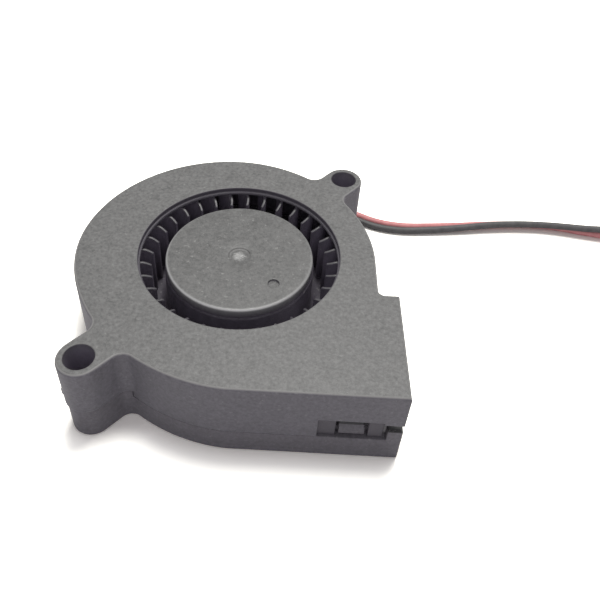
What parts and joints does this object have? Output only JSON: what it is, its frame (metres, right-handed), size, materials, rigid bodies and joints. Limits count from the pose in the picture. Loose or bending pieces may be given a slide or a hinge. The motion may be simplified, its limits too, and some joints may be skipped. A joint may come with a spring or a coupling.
{
  "type": "dc blower fan",
  "caption": "Flat square-frame centrifugal blower: scroll housing with round top inlet, side outlet, two screw lugs, bladed rotor on a hub motor and a red and black lead pair.",
  "frame": {"origin": "rotor axis where it meets the flat underside of the base", "axes": "+Z along the rotor axis, out of the inlet; +X out of the outlet; +Y towards the side where the leads come out"},
  "size_m": [0.1304, 0.068, 0.015],
  "materials": {
    "housing_plastic": "black glass-filled moulding, fine matte grain",
    "impeller_plastic": "black moulding, satin on the hub",
    "yoke_steel": "zinc-plated drawn steel cup",
    "ferrite": "bonded ferrite strip magnet",
    "shaft_steel": "ground steel",
    "bush_brass": "turned brass",
    "sintered_bronze": "oil-soaked sintered bronze",
    "washer_plastic": "natural nylon",
    "lamination_steel": "stamped silicon steel stack",
    "insulator_plastic": "black moulded insulator",
    "copper_wire": "enamelled copper wire",
    "board_laminate": "green circuit board",
    "tinned_brass": "tin plated",
    "chip_body": "black epoxy",
    "chip_ceramic": "tan ceramic",
    "red_insulation": "red vinyl",
    "black_insulation": "black vinyl",
    "connector_plastic": "natural nylon"
  },
  "bodies": {
    "housing": {"inlet_shell": "housing_plastic", "base_cover": "housing_plastic", "bearing_tube": "bush_brass", "sleeve_bearing": "sintered_bronze", "thrust_plate": "washer_plastic", "oil_washer": "washer_plastic", "stator_core": "lamination_steel", "bobbin_upper": "insulator_plastic", "bobbin_lower": "insulator_plastic", "winding_1": "copper_wire", "winding_2": "copper_wire", "winding_3": "copper_wire", "winding_4": "copper_wire", "driver_board": "board_laminate", "terminal_pins": "tinned_brass", "hall_driver_ic": "chip_body", "chip_capacitor": "chip_ceramic", "chip_resistor": "chip_body", "reverse_diode": "chip_body", "red_lead": "red_insulation", "black_lead": "black_insulation", "red_lead_coil": "red_insulation", "black_lead_coil": "black_insulation", "red_lead_end": "red_insulation", "black_lead_end": "black_insulation", "connector_housing": "connector_plastic", "connector_contact_1": "tinned_brass", "connector_contact_2": "tinned_brass"},
    "rotor": {"impeller": "impeller_plastic", "rotor_yoke": "yoke_steel", "magnet_ring": "ferrite", "shaft": "shaft_steel", "shaft_bush": "bush_brass", "retaining_ring": "shaft_steel"}
  },
  "joints": [
    {"name": "rotor_spin", "type": "hinge", "parent": "housing", "child": "rotor", "pos_m": [0, 0, 0], "axis": [0, 0, 1], "continuous": true}
  ]
}
